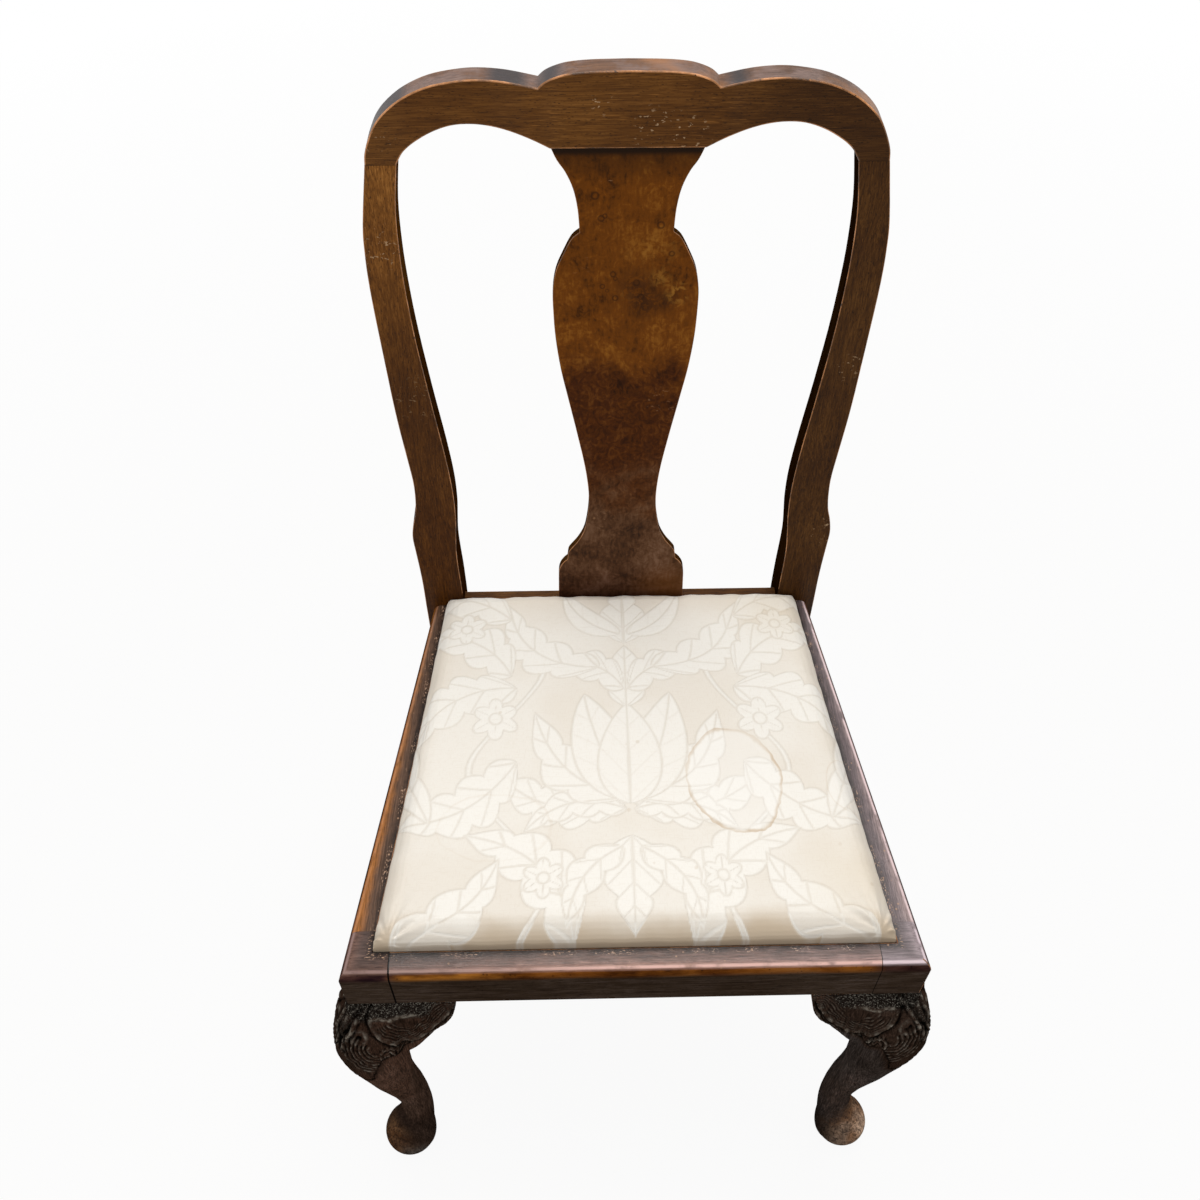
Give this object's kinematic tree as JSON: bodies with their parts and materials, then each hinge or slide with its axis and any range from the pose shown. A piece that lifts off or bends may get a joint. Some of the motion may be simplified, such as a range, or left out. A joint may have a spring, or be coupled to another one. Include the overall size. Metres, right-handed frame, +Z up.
{
  "type": "balloon back chair",
  "caption": "Walnut dining chair with a balloon-shaped back, vase splat, carved cabriole front legs, splayed rear legs and a lift-out seat in pale damask.",
  "frame": {"origin": "on the floor, under the middle of the whole chair's plan", "axes": "+X to the viewer's right as seen from in front of the chair, +Y from the front rail to the back, +Z up"},
  "size_m": [0.5534, 0.5106, 0.995],
  "materials": {
    "walnut": "polished",
    "carved_walnut": "waxed",
    "burr_veneer": "polished",
    "beech": "raw",
    "screw_steel": "dull",
    "tack_steel": "blued",
    "webbing": "woven jute",
    "hessian": "coarse weave",
    "stuffing": "felted",
    "damask": "satin weave",
    "dust_cloth": "plain weave"
  },
  "bodies": {
    "chair_frame": {"front_seat_rail": "walnut", "left_seat_rail": "walnut", "right_seat_rail": "walnut", "rear_seat_rail": "walnut", "left_front_leg": "walnut", "right_front_leg": "walnut", "left_leg_front_ear": "carved_walnut", "left_leg_side_ear": "carved_walnut", "right_leg_front_ear": "carved_walnut", "right_leg_side_ear": "carved_walnut", "left_rear_post": "walnut", "right_rear_post": "walnut", "crest_rail": "walnut", "back_splat": "walnut", "splat_veneer": "burr_veneer", "front_left_corner_block": "beech", "front_right_corner_block": "beech", "rear_left_corner_block": "beech", "rear_right_corner_block": "beech", "corner_block_screws": "screw_steel", "front_rail_dowels": "beech", "left_rail_dowels": "beech", "right_rail_dowels": "beech", "rear_rail_dowels": "beech", "crest_dowels": "beech"},
    "drop_in_seat": {"seat_front_bar": "beech", "seat_back_bar": "beech", "seat_left_bar": "beech", "seat_right_bar": "beech", "seat_corner_pegs": "beech", "webbing_front_to_back": "webbing", "webbing_side_to_side": "webbing", "webbing_tacks": "tack_steel", "seat_hessian": "hessian", "seat_stuffing": "stuffing", "damask_cover": "damask", "cover_tacks": "tack_steel", "dust_cover": "dust_cloth"}
  },
  "joints": [
    {"name": "seat_lift", "type": "slide", "parent": "chair_frame", "child": "drop_in_seat", "axis": [0, 0, 1], "range_m": [0, 0.08]}
  ]
}
